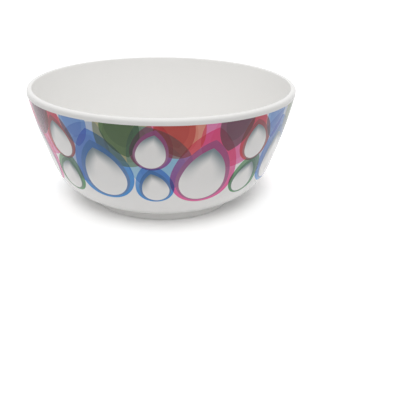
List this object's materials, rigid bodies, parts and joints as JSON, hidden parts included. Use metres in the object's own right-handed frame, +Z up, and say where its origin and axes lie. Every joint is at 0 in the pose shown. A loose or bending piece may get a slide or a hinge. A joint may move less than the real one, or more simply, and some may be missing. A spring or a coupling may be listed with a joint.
{
  "type": "mixing bowl",
  "caption": "Round pressed melamine bowl with a curved tapering wall, thick collar rim, low foot ring and printed decal foils set flush into the outer wall.",
  "frame": {"origin": "centre of the foot ring, on the surface that the bowl stands on", "axes": "+Z up along the bowl's axis; +X and +Y lie on edges where two decal foils meet"},
  "size_m": [0.16, 0.16, 0.072],
  "materials": {
    "melamine_white": "smooth pressed melamine, white, soft gloss",
    "printed_foil": "printed decal foil under a clear melamine glaze, white ground with pink, blue, green and red inks"
  },
  "bodies": {
    "root": {"bowl_shell": "melamine_white", "decal_foil_1": "printed_foil", "decal_foil_2": "printed_foil", "decal_foil_3": "printed_foil", "decal_foil_4": "printed_foil"}
  },
  "joints": []
}
